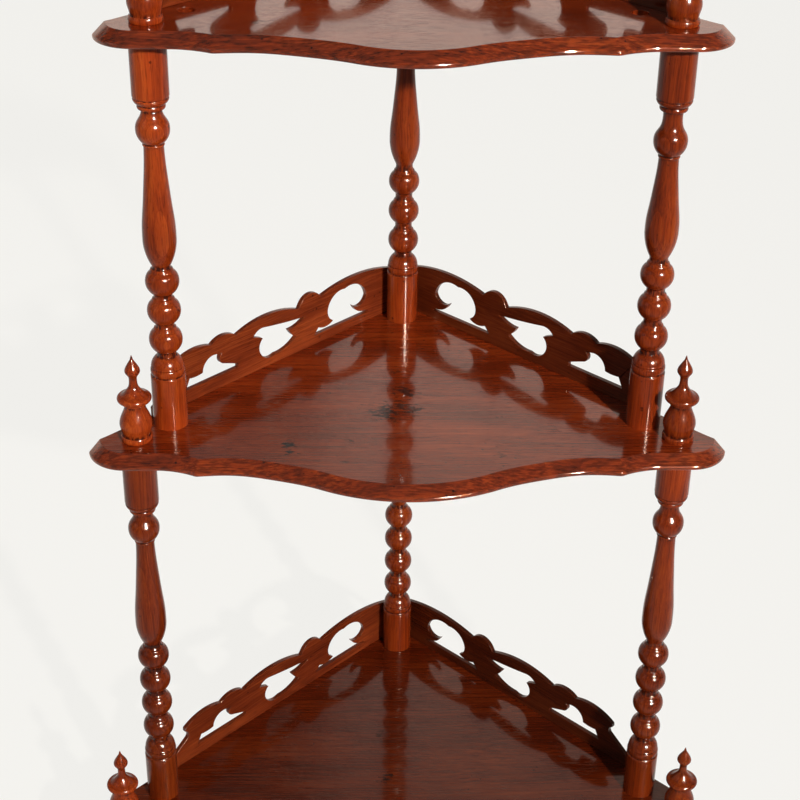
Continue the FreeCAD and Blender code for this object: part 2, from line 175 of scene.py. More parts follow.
floor_reach = np.array([40000.0, 12000.0, 5000.0, 2000.0, 700.0, 0.0])
floor_turn = np.linspace(0, 2 * math.pi, 64, endpoint=False)
floor_grid = (len(floor_reach), len(floor_turn))
floor_points = np.stack([np.outer(floor_reach, np.cos(floor_turn)), np.outer(floor_reach, np.sin(floor_turn)),
                         np.zeros(floor_grid)], axis=-1).reshape(-1, 3)
floor = mesh_object("floor", floor_points, [grid_faces(*floor_grid, True)])
floor_paint, tree, shader = new_material("pale floor paint")
path = node(tree, "ShaderNodeLightPath")
seen = calc(tree, "MAXIMUM", path.outputs["Is Camera Ray"],
            calc(tree, "MAXIMUM", path.outputs["Is Glossy Ray"], path.outputs["Is Transmission Ray"]))
shader.inputs["Base Color"].default_value = (0.50, 0.49, 0.47, 1)
shader.inputs["Roughness"].default_value = 0.8
shader.inputs["Specular IOR Level"].default_value = 0.1
glow = node(tree, "ShaderNodeEmission", Color=(1.0, 0.99, 0.955, 1), Strength=1.0)
place = node(tree, "ShaderNodeSeparateXYZ", Vector=node(tree, "ShaderNodeTexCoord").outputs["Object"])
whiteness = node(tree, "ShaderNodeMapRange", Value=place.outputs["Y"], From_Min=-0.8, From_Max=-0.1,
                 To_Min=0.25, To_Max=0.85)
paint = node(tree, "ShaderNodeMixShader", Fac=calc(tree, "MULTIPLY", seen, whiteness.outputs["Result"]))
tree.links.new(shader.outputs[0], paint.inputs[1])
tree.links.new(glow.outputs[0], paint.inputs[2])
tree.links.new(paint.outputs[0], tree.nodes["Material Output"].inputs["Surface"])
floor.data.materials.append(floor_paint)


# THE LIGHT
# Daylight as in a bright studio: white behind the stand up to about head height, and dim overhead and on
# the viewer's side. A sun-like lamp shines from high on the right in front, a larger lamp in the same
# place shows in the polish only, and a wide soft panel stands on the left.
world = bpy.data.worlds.new("studio air")
world.use_nodes = True
scene.world = world
tree = world.node_tree
tree.nodes.clear()
compass = node(tree, "ShaderNodeSeparateXYZ", Vector=node(tree, "ShaderNodeTexCoord").outputs["Generated"])


def by_height(levels):
    """The brightness of one side of the studio by the sine of the angle that a ray rises at."""
    made = node(tree, "ShaderNodeValToRGB", Fac=compass.outputs["Z"])
    stops = made.color_ramp.elements
    stops[0].position, stops[1].position = levels[0][0], levels[-1][0]
    for sine, level in levels[1:-1]:
        stops.new(sine)
    for stop, (sine, level) in zip(stops, levels):
        stop.color = (level, level * 0.96, level * 0.91, 1)
    return made.outputs["Color"]


def crossing(axis, low, high, first, second):
    """One side's light that fades into another's as the ray turns along an axis."""
    made = node(tree, "ShaderNodeMix", {"data_type": "RGBA"})
    share = node(tree, "ShaderNodeMapRange", Value=compass.outputs[axis], From_Min=low, From_Max=high)
    for index, value in ((0, share.outputs["Result"]), (6, first), (7, second)):
        tree.links.new(value, made.inputs[index])
    return made.outputs[2]


back_left = by_height([(0.0, 1.0), (0.34, 1.0), (0.42, 0.38), (0.50, 0.14), (0.535, 0.40), (0.57, 0.40),
                       (0.62, 0.05), (1.0, 0.16)])
back_right = by_height([(0.0, 1.0), (0.34, 1.0), (0.44, 0.86), (0.56, 0.80), (0.66, 0.48), (0.75, 0.16),
                        (1.0, 0.18)])
viewer_side = by_height([(0.0, 0.20), (0.34, 0.18), (0.70, 0.16), (1.0, 0.18)])
studio = crossing("Y", 0.1, 0.4, viewer_side, crossing("X", -0.04, 0.008, back_left, back_right))
air = node(tree, "ShaderNodeBackground", Color=studio, Strength=1.0)
node(tree, "ShaderNodeOutputWorld", Surface=air.outputs[0])


def panel(name, place, aim, width, height, power, colour, beam=math.pi):
    """A flat lamp of a width and height at a place, turned to face a point, with its beam's whole angle."""
    data = bpy.data.lights.new(name, "AREA")
    data.shape = "RECTANGLE"
    data.size = width
    data.size_y = height
    data.energy = power
    data.color = colour
    data.spread = beam
    made = bpy.data.objects.new(name, data)
    made.location = place
    made.rotation_euler = (Vector(aim) - Vector(place)).to_track_quat("-Z", "Y").to_euler()
    made.visible_camera = False
    scene.collection.objects.link(made)
    return made


sun_place, sun_aim = (2.2, -4.9, 3.2), (0.0, 0.0, 0.70)
sun_colour, sun_beam = (1.0, 0.95, 0.88), math.radians(42)
panel("sun", sun_place, sun_aim, 0.17, 0.17, 24.0, sun_colour, sun_beam)
glint = panel("glint", sun_place, sun_aim, 0.34, 0.34, 115.0, sun_colour, sun_beam)
glint.visible_diffuse = False
panel("soft side", (-2.6, -1.2, 1.9), (0.0, 0.0, 0.6), 1.6, 1.6, 5.0, (0.94, 0.97, 1.0))


# THE SHELVES
# Three boards of solid mahogany with one serpentine front between two ears, planed to a broad bevel, and
# french-polished. The grain runs from side to side. Spills and rings have marked them over the years.
board_thickness = 13.0
bevel_reach = 14.0
socket_radius = 8.2
back_corner = 227.4277
edge_offset = 25.0
back_axis_depth = 41.0
gallery_thickness = 5.5
gallery_inset = 1.5
gallery_screw_shares = np.array([0.058, 0.395, 0.640, 0.935])
screw_pit_radius = 2.75
screw_shank_inset = -1.05
screw_pit_depth = 2.2
bevel_grime = 0.42
bevel_paleness = 1.28


def axis_depth(x):
    """How far back the axis of a turned piece stands that is this far out, or in the corner if it is not."""
    return back_corner - (abs(x) + edge_offset * math.sqrt(2) if x else back_axis_depth)


def arc(start, via, end, count):
    """Points on the circle through three points, from the first to the last at even angles.

    Its centre is where the lines that halve two chords at right angles meet.
    """
    start, via, end = (np.array(point, float) for point in (start, via, end))
    chords = np.array([via - start, end - start])
    centre = np.linalg.solve(chords, (chords * (np.array([via, end]) + start)).sum(axis=1) / 2)
    spokes = np.array([start, via, end]) - centre
    angles = np.unwrap(np.arctan2(spokes[:, 1], spokes[:, 0]))
    turn = np.linspace(angles[0], angles[2], count)
    return centre + np.hypot(*spokes[0]) * np.stack([np.cos(turn), np.sin(turn)], axis=1)


def smooth_curve(points, first, last, count):
    """A curve through points, between two end directions, whose slope and bend never jump.

    Between neighbours it is the cubic with their places and slopes. The slopes solve one linear system,
    which makes the bends of two stretches equal where they meet.
    """
    points = np.array(points, float)
    last_index = len(points) - 1
    step = np.hypot(*np.diff(points, axis=0).T)
    pace = np.diff(points, axis=0) / step[:, None]
    system = np.eye(len(points))
    inner = np.arange(1, last_index)
    system[inner, inner - 1] = step[1:]
    system[inner, inner] = 2 * (step[:-1] + step[1:])
    system[inner, inner + 1] = step[:-1]
    wanted = np.zeros_like(points)
    wanted[0], wanted[-1] = first / np.linalg.norm(first), last / np.linalg.norm(last)
    wanted[1:-1] = 3 * (step[1:, None] * pace[:-1] + step[:-1, None] * pace[1:])
    slopes = np.linalg.solve(system, wanted)
    marks = np.concatenate([[0], np.cumsum(step)])
    at = np.linspace(0, marks[-1], count)
    k = np.clip(np.searchsorted(marks, at, side="right") - 1, 0, last_index - 1)
    width = step[k, None]
    t = (at - marks[k])[:, None] / width
    return ((1 + 2 * t) * (1 - t) ** 2 * points[k] + t * (1 - t) ** 2 * width * slopes[k]
            + t * t * (3 - 2 * t) * points[k + 1] + t * t * (t - 1) * width * slopes[k + 1])


def evenly(points, spacing):
    """The same line, with its points at an even spacing along it."""
    reach = np.concatenate([[0], np.cumsum(np.hypot(*np.diff(points, axis=0).T))])
    marks = np.linspace(0, reach[-1], int(reach[-1] / spacing) + 2)
    return np.stack([np.interp(marks, reach, points[:, 0]), np.interp(marks, reach, points[:, 1])], axis=1)


def averaged(rows, half_width, ends):
    """Each row replaced by the mean of its neighbours on both sides, with the ends continued as named."""
    extra = {"reflect_type": "odd"} if ends == "reflect" else {}
    padded = np.pad(rows, ((half_width, half_width), (0, 0)), mode=ends, **extra)
    sums = np.cumsum(np.concatenate([np.zeros((1, rows.shape[1])), padded]), axis=0)
    width = 2 * half_width + 1
    return (sums[width:] - sums[:-width]) / width


def unit(rows):
    """Rows scaled to length one."""
    return rows / np.linalg.norm(rows, axis=-1, keepdims=True)


def rounded_corner(before, corner, after, radius, count):
    """The arc of a radius that touches both lines which meet at a corner."""
    before, corner, after = (np.array(point, float) for point in (before, corner, after))
    into, out = unit(corner - before), unit(after - corner)
    half = math.acos(into @ out) / 2
    centre = corner + unit(out - into) * radius / math.cos(half)
    reach = radius * math.tan(half)
    return arc(corner - into * reach, centre - unit(out - into) * radius, corner + out * reach, count)


def swept(path, inwards, lean, section, facing, closed):
    """The surface that a section sweeps along a path in plan, as points, normals and faces.

    Point (k, j) is path point j moved by inset k along its lean, at height k. The lean is the inward
    direction slid along the path, so that an inset keeps its distance from the path round a corner.
    Facing gives each section point's normal as its outward and upward parts.
    """
    inset, height = np.broadcast_to(section, (len(section), len(path), 2)).transpose(2, 0, 1)
    plan = path[None] + inset[..., None] * lean[None]
    points = np.concatenate([plan, height[..., None]], axis=-1)
    outward = -facing[:, None, :1] * inwards[None]
    normals = np.concatenate([outward, np.broadcast_to(facing[:, None, 1:], (*inset.shape, 1))], axis=-1)
    return points, normals, grid_faces(*inset.shape, closed)


def plain_section(rounding, thickness):
    """A straight edge with both arrises rounded over quarter circles, and its normals."""
    turn = np.linspace(0, math.pi / 2, 5)
    rounding = np.atleast_1d(rounding)
    sine, cosine = np.sin(turn), np.cos(turn)
    lower = np.stack([np.outer(1 - sine, rounding), np.outer(1 - cosine, rounding)], axis=-1)
    upper = np.stack([np.outer(1 - cosine, rounding), thickness - np.outer(1 - sine, rounding)], axis=-1)
    facing = np.concatenate([np.stack([sine, -cosine], axis=-1), np.stack([cosine, sine], axis=-1)])
    return np.concatenate([lower, upper]), facing


def bevelled_section():
    """The shelf's front edge: a rounded lower arris, an upright face, a round nose, a bevel and its arris."""
    under, nose, arris = (0.0, 0.0), (0.0, 4.0), (12.5, board_thickness)
    section = np.concatenate([
        [(3.0, 0.0)], rounded_corner((3.0, 0.0), under, nose, 1.5, 6),
        rounded_corner(under, nose, arris, 2.5, 9),
        [(2.6, 5.87), (6.5, 8.68), (11.0, 11.92)],
        rounded_corner(nose, arris, (bevel_reach + 2.0, board_thickness), 1.1, 6),
        [(bevel_reach, board_thickness)]])
    run = np.gradient(section, axis=0)
    return section[:, None, :], unit(run[:, ::-1])


def circle(x, y, radius, count):
    """Points round a hole, with the wood on their outward side, and the directions into the wood."""
    turn = -np.linspace(0, 2 * math.pi, count, endpoint=False)
    spokes = np.stack([np.cos(turn), np.sin(turn)], axis=1)
    return np.array([x, y]) + radius * spokes, spokes


def filled(loops, facing):
    """Flat triangles between an outer loop and those of its holes, facing up (1) or down (-1)."""
    points = np.concatenate(loops)
    faces = np.array(tessellate_polygon([loop.tolist() for loop in loops]))
    a, b, c = (points[faces[:, index], :2] for index in range(3))
    turn = (b - a)[:, 0] * (c - a)[:, 1] - (b - a)[:, 1] * (c - a)[:, 0]
    faces = np.where((turn * facing < 0)[:, None], faces[:, ::-1], faces)
    normals = np.tile((0.0, 0.0, float(facing)), (len(points), 1))
    return points, normals, faces[np.abs(turn) > 1e-6]


def joined(blocks):
    """Several blocks of points, normals and faces as one."""
    points = [np.reshape(block[0], (-1, 3)) for block in blocks]
    normals = [np.reshape(block[1], (-1, 3)) for block in blocks]
    starts = np.cumsum([0] + [len(rows) for rows in points])
    faces = [block[2] + start for block, start in zip(blocks, starts)]
    return np.concatenate(points), np.concatenate(normals), faces


def board_front(half_span):
    """The serpentine front of a shelf from its left tip to its right one, as points every millimetre.

    Each half is an ear's arc, a straight, an ogee's arc up to the cusp, a curve with a hollow and a
    shoulder, and half of the crown's arc, all measured outwards and forwards from the finial's axis.
    """
    shoulder_span, shoulder_depth, bow_rise, ear_reach = 185.0, 77.0, 0.25, 47.2
    shoulder = (-shoulder_span, shoulder_depth)
    crown = (-half_span, shoulder_depth + bow_rise * (half_span - shoulder_span))
    bow = arc(shoulder, crown, (shoulder_span - 2 * half_span, shoulder_depth), 161)
    into_bow = unit(bow[1] - bow[0])
    tip = (ear_reach, ear_reach - edge_offset * math.sqrt(2))
    ear_end, ogee_start, cusp = (12.0, 41.5), (-26.0, 41.5), (-62.0, 53.0)
    half = np.concatenate([
        arc(tip, (36.0, 31.0), ear_end, 40)[:-1],
        [ear_end],
        arc(ogee_start, (-45.5, 45.5), cusp, 30)[:-1],
        smooth_curve([cusp, (-98.0, 51.0), (-140.0, 60.0), shoulder], (-1.0, -0.12), into_bow, 80)[:-1],
        bow[:81]])
    right = np.stack([half_span + half[:, 0], axis_depth(half_span) - half[:, 1]], axis=1)
    whole = np.concatenate([right * (-1, 1), right[-2::-1]])
    return averaged(evenly(whole, 1.0), 2, "reflect")


def shelf_board(name, level, half_span, post_half_span, gallery_gap, pith, shade):
    """One shelf: its bevelled front, its two plain back edges, its sockets and screw pits, and both faces.

    The last value sets how pale the board is painted: its own tone, with painted shade on the bottom board.
    The bevel between its two edges is paler and holds flecks of grime.
    """
    path = board_front(half_span)
    along = unit(np.gradient(path, axis=0))
    inwards = np.stack([-along[:, 1], along[:, 0]], axis=1)

    # The lean is smoothed along the front, and over the last 8 mm at each tip it turns along the back edge
    from_left = np.arange(len(path))
    at_left, at_right = (np.clip(1 - ends / 8, 0, 1)[:, None] for ends in (from_left, from_left[::-1]))
    back_way = math.sqrt(0.5)
    lean = averaged(inwards, 8, "edge") * (1 - at_left - at_right)
    lean += at_left * (back_way, back_way) + at_right * (-back_way, back_way)
    lean /= (lean * inwards).sum(axis=1, keepdims=True)
    front = swept(path, inwards, lean, *bevelled_section(), False)

    # The back edges run from where the bevel ends on the right, round the corner, to the same on the left
    reach = path[-1] + bevel_reach * lean[-1]
    corner = np.array([0.0, back_corner])
    side = reach + np.linspace(0, 1, 90)[:, None] ** 1.5 * (corner + (1.2, -1.2) - reach)
    back_path = np.concatenate([side, arc(side[-1], corner + (0, -0.5), side[-1] * (-1, 1), 7)[1:-1],
                                (side * (-1, 1))[::-1]])
    back_along = unit(np.gradient(back_path, axis=0))
    back_inwards = np.stack([-back_along[:, 1], back_along[:, 0]], axis=1)
    from_ends = np.minimum(np.arange(len(back_path)), np.arange(len(back_path))[::-1])
    section, facing = plain_section(0.6 * np.clip(from_ends / 6, 0, 1), board_thickness)
    back = swept(back_path, back_inwards, back_inwards, section, facing, False)
    blocks = [front, back]

    # Behind each ear a strip joins every point of the bevelled section to the nearest one of the plain section
    rows = len(front[0])
    nearest = np.round(np.linspace(0, len(section) - 1, rows)).astype(int)
    for front_end, back_end, normal in ((-1, 0, (back_way, back_way, 0)), (0, -1, (-back_way, back_way, 0))):
        ends = np.stack([front[0][:, front_end], back[0][nearest, back_end]], axis=1)
        ends = ends if front_end else ends[:, ::-1]
        blocks.append((ends, np.broadcast_to(normal, ends.shape), grid_faces(rows, 2, False)))

    under_loops = [np.concatenate([front[0][0], back[0][0]])]
    top_loops = [np.concatenate([front[0][-1, :-1], back[0][-1, :-1]])]
    for x in (0.0, -half_span, half_span, -post_half_span, post_half_span):
        rim, spokes = circle(x, axis_depth(x), socket_radius, 40)
        wall = swept(rim, spokes, spokes, *plain_section(0.4, board_thickness), True)
        blocks.append(wall)
        under_loops.append(wall[0][0])
        top_loops.append(wall[0][-1])

    # The screw pits lie along the middle of each gallery. The right one starts its thickness nearer the corner
    length = half_span * math.sqrt(2) + edge_offset - gallery_inset - gallery_thickness - gallery_gap
    gallery_start = back_corner - (gallery_inset + gallery_thickness) / back_way
    pit = np.array([(0.0, 0.0), (screw_shank_inset, screw_pit_depth), (-screw_pit_radius, screw_pit_depth)])
    pit_facing = unit(np.gradient(pit, axis=0)[:, ::-1])
    for way in (-1, 1):
        for run in gallery_screw_shares * length - (gallery_thickness if way > 0 else 0):
            x = (run + gallery_thickness / 2) * back_way
            y = gallery_start + (gallery_thickness / 2 - run) * back_way
            rim, spokes = circle(way * x, y, screw_pit_radius, 20)
            pit_wall = swept(rim, spokes, spokes, pit[:, None, :], pit_facing, True)
            blocks.append(pit_wall)
            under_loops.append(pit_wall[0][0])
    blocks += [filled(under_loops, -1), filled(top_loops, 1)]
    points, normals, faces = joined(blocks)
    points = points + (0, 0, level)
    first_value = np.arange(len(points)) * 3
    on_bevel = (first_value >= front[0][0].size) & (first_value < front[0][:-1].size)
    return mesh_object(name, points, faces, normals, points + pith, hollow=np.where(on_bevel, bevel_grime, 0.0),
                       shade=np.where(on_bevel, bevel_paleness * shade, shade))


def stretched(tree, vector, scale):
    """A vector with each of its axes scaled."""
    made = node(tree, "ShaderNodeVectorMath", {"operation": "MULTIPLY"})
    tree.links.new(vector, made.inputs[0])
    made.inputs[1].default_value = scale
    return made.outputs[0]


def spread(tree, value, low, high):
    """A value mapped so that low gives 0 and high gives 1, held inside that range."""
    return node(tree, "ShaderNodeMapRange", Value=value, From_Min=low, From_Max=high).outputs["Result"]


def blend(tree, factor, first, second, mode="MIX"):
    """The colour of a Mix node."""
    made = node(tree, "ShaderNodeMix", {"data_type": "RGBA", "blend_type": mode})
    for index, value in ((0, factor), (6, first), (7, second)):
        if isinstance(value, bpy.types.NodeSocket):
            tree.links.new(value, made.inputs[index])
        else:
            made.inputs[index].default_value = value
    return made.outputs[2]


def new_group(name, inputs, outputs):
    """An empty node group with named sockets, and its two end nodes."""
    group = bpy.data.node_groups.new(name, "ShaderNodeTree")
    for label, kind in inputs:
        group.interface.new_socket(label, in_out="INPUT", socket_type=kind)
    for label, kind in outputs:
        group.interface.new_socket(label, in_out="OUTPUT", socket_type=kind)
    return group, group.nodes.new("NodeGroupInput"), group.nodes.new("NodeGroupOutput")


# The growth of the tree: x runs along the grain, and the pith lies on the x axis. Growth layers are rings
# about it, bent by slow noise, with long streaks and short open pores in their direction.
growth, growth_in, growth_out = new_group(
    "mahogany growth",
    [("Grain", "NodeSocketVector"), ("Rings", "NodeSocketFloat"), ("Streaks", "NodeSocketFloat")],
    [("Tone", "NodeSocketFloat"), ("Pores", "NodeSocketFloat"), ("Relief", "NodeSocketFloat")])
grain = growth_in.outputs["Grain"]
bend = node(growth, "ShaderNodeTexNoise", Vector=stretched(growth, grain, (3, 9, 9)), Scale=1.0, Detail=2.0)
shift = node(growth, "ShaderNodeVectorMath", {"operation": "MULTIPLY_ADD"})
growth.links.new(bend.outputs["Color"], shift.inputs[0])
shift.inputs[1].default_value = (0.03, 0.03, 0.03)
growth.links.new(grain, shift.inputs[2])
rings = node(growth, "ShaderNodeTexWave", {"wave_type": "RINGS", "rings_direction": "X", "wave_profile": "SAW"},
             Vector=shift.outputs[0], Scale=48.0, Distortion=1.2, Detail=2.0, Detail_Scale=0.6)
streak = node(growth, "ShaderNodeTexNoise", Vector=stretched(growth, shift.outputs[0], (7, 640, 640)),
              Scale=1.0, Detail=4.0, Roughness=0.66)
cloud = node(growth, "ShaderNodeTexNoise", Vector=stretched(growth, grain, (7, 26, 26)), Scale=1.0, Detail=3.0)
fibre = node(growth, "ShaderNodeTexNoise", Vector=stretched(growth, grain, (70, 850, 850)), Scale=1.0,
             Detail=2.0)


def about_zero(value):
    """A noise value with its middle at nought and its usual reach at about one half each way."""
    return calc(growth, "SUBTRACT", spread(growth, value, 0.30, 0.70), 0.5)


ring_part = calc(growth, "MULTIPLY", calc(growth, "SUBTRACT", rings.outputs["Fac"], 0.5),
                 growth_in.outputs["Rings"])
streak_part = calc(growth, "MULTIPLY", about_zero(streak.outputs["Fac"]), growth_in.outputs["Streaks"])
cloud_part = calc(growth, "MULTIPLY", about_zero(cloud.outputs["Fac"]), 0.34)
tone = calc(growth, "ADD", calc(growth, "ADD", streak_part, cloud_part), calc(growth, "ADD", ring_part, 0.5))
pores = spread(growth, fibre.outputs["Fac"], 0.54, 0.70)
growth.links.new(tone, growth_out.inputs["Tone"])
growth.links.new(pores, growth_out.inputs["Pores"])
growth.links.new(calc(growth, "SUBTRACT", calc(growth, "MULTIPLY", streak.outputs["Fac"], 0.6), pores),
                 growth_out.inputs["Relief"])

# The varnish: it has run and been rubbed unevenly, so its skin waves gently, with small specks in it.
skin, skin_in, skin_out = new_group(
    "varnish skin",
    [("Place", "NodeSocketVector"), ("Wave", "NodeSocketFloat")],
    [("Haze", "NodeSocketFloat"), ("Relief", "NodeSocketFloat"), ("Specks", "NodeSocketFloat")])
place = skin_in.outputs["Place"]
slow = node(skin, "ShaderNodeTexNoise", Vector=place, Scale=38.0, Detail=2.0)
fine = node(skin, "ShaderNodeTexNoise", Vector=place, Scale=260.0, Detail=2.0)
patch = node(skin, "ShaderNodeTexNoise", Vector=place, Scale=14.0, Detail=4.0)
dots = node(skin, "ShaderNodeTexVoronoi", Vector=place, Scale=120.0)
rare = node(skin, "ShaderNodeTexNoise", Vector=place, Scale=55.0)
dot_mask = calc(skin, "MULTIPLY", spread(skin, dots.outputs["Distance"], 0.22, 0.12),
                spread(skin, rare.outputs["Fac"], 0.60, 0.66))
waves = calc(skin, "ADD", slow.outputs["Fac"], calc(skin, "MULTIPLY", fine.outputs["Fac"], 0.30))
skin.links.new(spread(skin, patch.outputs["Fac"], 0.42, 0.70), skin_out.inputs["Haze"])
skin.links.new(calc(skin, "SUBTRACT", calc(skin, "MULTIPLY", waves, skin_in.outputs["Wave"]),
                    calc(skin, "MULTIPLY", dot_mask, 0.25)), skin_out.inputs["Relief"])
skin.links.new(dot_mask, skin_out.inputs["Specks"])


def mahogany(name, dark, mean, light, rings, streaks, wave, gloss, mirror, sheen, coat, coat_blur, marks=()):
    """Varnished mahogany on a piece's own grain attribute, as pale as its own tone and painted shade make it.

    Dark patches lie where the hollow attribute is above nought: painted shade in the recesses of turned
    pieces, and flecks of grime on a shelf's bevel. Each mark is a stain that has gone through the polish:
    its middle, its radius and how dark it is. What has marks is a shelf, and its underside was never
    polished.
    """
    material, tree, shader = new_material(name)
    grain = node(tree, "ShaderNodeAttribute", {"attribute_name": "grain"}).outputs["Vector"]
    wood = node(tree, "ShaderNodeGroup", {"node_tree": growth}, Grain=grain, Rings=rings, Streaks=streaks)
    film = node(tree, "ShaderNodeGroup", {"node_tree": skin}, Place=grain, Wave=wave)
    ramp = node(tree, "ShaderNodeValToRGB", Fac=wood.outputs["Tone"])
    stops = ramp.color_ramp.elements
    stops[0].position, stops[1].position = 0.12, 0.92
    stops.new(0.48)
    for stop, tone in zip(stops, (dark, mean, light)):
        stop.color = (*tone, 1)
    # How pale the piece is painted: its own tone, with painted shade on the low pieces and on frets turned from
    # the light
    shade = node(tree, "ShaderNodeAttribute", {"attribute_name": "shade"}).outputs["Color"]
    colour = blend(tree, 1.0, ramp.outputs["Color"], shade, "MULTIPLY")
    pore_dark = (0.030, 0.006, 0.003, 1)
    # Dirt specks in the varnish use this dark, and so does the painted shade in the recesses of turned pieces
    dirt_and_shade_dark = (0.020, 0.005, 0.003, 1)
    stain_dark = (0.008, 0.004, 0.004, 1)
    colour = blend(tree, calc(tree, "MULTIPLY", wood.outputs["Pores"], 0.40), colour, pore_dark)
    colour = blend(tree, calc(tree, "MULTIPLY", film.outputs["Specks"], 0.8), colour, dirt_and_shade_dark)
    hollow = node(tree, "ShaderNodeAttribute", {"attribute_name": "hollow"}).outputs["Fac"]
    patches = node(tree, "ShaderNodeTexNoise", Vector=stretched(tree, grain, (90, 330, 330)), Scale=1.0,
                   Detail=3.0)
    patchy = calc(tree, "MULTIPLY", spread(tree, patches.outputs["Fac"], 0.42, 0.62), 1.3)
    # Painted shade: the hollow attribute darkens the recesses of turned pieces; on a shelf's bevel it lays
    # flecks of grime
    grime_and_shade = calc(tree, "MULTIPLY", hollow, calc(tree, "ADD", patchy, 0.15))
    colour = blend(tree, calc(tree, "MINIMUM", grime_and_shade, 0.9), colour, dirt_and_shade_dark)
    rough = calc(tree, "ADD", calc(tree, "MULTIPLY", film.outputs["Haze"], 0.08), gloss)
    shader.inputs["Coat Weight"].default_value = coat
    if marks:
        spot = node(tree, "ShaderNodeTexCoord").outputs["Object"]
        ragged = node(tree, "ShaderNodeTexNoise", Vector=stretched(tree, spot, (110, 260, 260)), Scale=1.0,
                      Detail=5.0)
        fray = calc(tree, "MULTIPLY", calc(tree, "SUBTRACT", ragged.outputs["Fac"], 0.46), 4.6)
        stain = 0.0
        for x, y, z, radius, depth in marks:
            away = node(tree, "ShaderNodeVectorMath", {"operation": "DISTANCE"})
            tree.links.new(spot, away.inputs[0])
            away.inputs[1].default_value = (x, y, z)
            share = calc(tree, "ADD", calc(tree, "DIVIDE", away.outputs["Value"], radius), fray)
            stain = calc(tree, "MAXIMUM", stain, calc(tree, "MULTIPLY", spread(tree, share, 1.0, 0.45), depth))
        colour = blend(tree, stain, colour, stain_dark)
        side = node(tree, "ShaderNodeSeparateXYZ", Vector=node(tree, "ShaderNodeNewGeometry").outputs["Normal"])
        under = spread(tree, side.outputs["Z"], -0.6, -0.9)
        rough = calc(tree, "ADD", rough, calc(tree, "MULTIPLY", under, 0.5))
        coated = calc(tree, "SUBTRACT", 1.0, calc(tree, "MAXIMUM", stain, under))
        tree.links.new(calc(tree, "MULTIPLY", coated, coat), shader.inputs["Coat Weight"])
    relief = calc(tree, "ADD", film.outputs["Relief"], calc(tree, "MULTIPLY", wood.outputs["Relief"], 0.25))
    bump = node(tree, "ShaderNodeBump", Strength=0.5, Distance=0.0006, Height=relief)
    tree.links.new(colour, shader.inputs["Base Color"])
    tree.links.new(rough, shader.inputs["Roughness"])
    tree.links.new(bump.outputs["Normal"], shader.inputs["Normal"])
    shader.inputs["IOR"].default_value = 1.47
    shader.inputs["Specular IOR Level"].default_value = mirror
    shader.inputs["Specular Tint"].default_value = (*sheen, 1)
    shader.inputs["Coat Roughness"].default_value = coat_blur
    shader.inputs["Coat Tint"].default_value = (1.0, 0.62, 0.42, 1)
    return material


def finish(piece, material, slot, *solids):
    """Gives a piece its finish, hangs it on the stand's body and hides the solids that it stands for."""
    piece.data.materials.clear()
    piece.data.materials.append(material)
    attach(piece, "root")
    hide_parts(*solids)


# Where the marks lie and how far they reach, in metres, and how dark each is
top_face, middle_face, bottom_face = 0.999, 0.581, 0.110
board_marks = [
    (0.081, 0.011, top_face, 0.004, 0.8), (-0.142, -0.051, top_face, 0.006, 0.6),
    (-0.001, 0.013, middle_face, 0.012, 1.0), (-0.023, -0.028, middle_face, 0.020, 0.9),
    (-0.007, -0.014, middle_face, 0.011, 0.8), (0.004, -0.024, middle_face, 0.013, 0.8),
    (-0.119, -0.093, middle_face, 0.008, 1.0), (-0.116, -0.107, middle_face, 0.007, 1.0),
    (-0.059, -0.084, middle_face, 0.006, 0.6), (0.090, -0.113, middle_face, 0.006, 0.6),
    (-0.064, -0.125, middle_face, 0.005, 0.5), (0.002, -0.068, middle_face, 0.006, 0.4),
    (-0.011, 0.056, middle_face, 0.006, 0.5),
    (-0.018, -0.062, bottom_face, 0.010, 0.95), (-0.024, 0.012, bottom_face, 0.007, 0.5),
]
board_finish = mahogany(
    "polished shelf mahogany", (0.052, 0.009, 0.003), (0.142, 0.023, 0.005), (0.285, 0.062, 0.013),
    rings=0.10, streaks=0.55, wave=1.3, gloss=0.07, mirror=0.60, sheen=(1.0, 0.85, 0.74), coat=0.70,
    coat_blur=0.07, marks=board_marks)

# For each shelf: the height of its underside, how far out the finials and the columns on it stand, by how
# much its galleries stop short of its ears, where the middle of its tree was, and how pale it is painted:
# its own tone, with painted shade that makes the bottom board darker
shelves = {
    "bottom": (97.0, 311.0, 272.0, 77.8, (400.0, 110.0, 20.0), 0.55),
    "middle": (568.0, 272.0, 241.0, 36.7, (-700.0, 30.0, -460.0), 1.0),
    "top": (986.0, 241.0, 208.0, 6.8, (1900.0, -130.0, -900.0), 1.0),
}
for level_name, sizes in shelves.items():
    board = shelf_board(f"board_{level_name}", *sizes)
    finish(board, board_finish, "shelf_mahogany", f"shelf_{level_name}")


# THE GALLERIES
# Thin mahogany boards sawn to one fretwork pattern, glued and screwed on edge along the two straight back
# edges of each shelf. The right one of each pair runs through to the corner. Their edges are sanded round.
def softened_copy(name, solid, width):
    """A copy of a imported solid: loose triangles welded, flat neighbours joined, sharp edges rounded over."""
    data = bpy.data.meshes.new(name)
    welded = bmesh.new()
    welded.from_mesh(frame["nodes"][solid].data)
    bmesh.ops.remove_doubles(welded, verts=welded.verts, dist=2e-6)
    bmesh.ops.dissolve_limit(welded, angle_limit=math.radians(0.15), verts=welded.verts, edges=welded.edges)
    for face in welded.faces:
        face.smooth = True
    welded.to_mesh(data)
    welded.free()
    if "custom_normal" in data.attributes:
        data.attributes.remove(data.attributes["custom_normal"])
    made = bpy.data.objects.new(name, data)
    scene.collection.objects.link(made)
    rounding = made.modifiers.new("rounded edges", "BEVEL")
    rounding.width = width
    rounding.segments = 2
    rounding.limit_method = "ANGLE"
    rounding.angle_limit = math.radians(25)
    rounding.use_clamp_overlap = False
    rounding.harden_normals = True
    return made


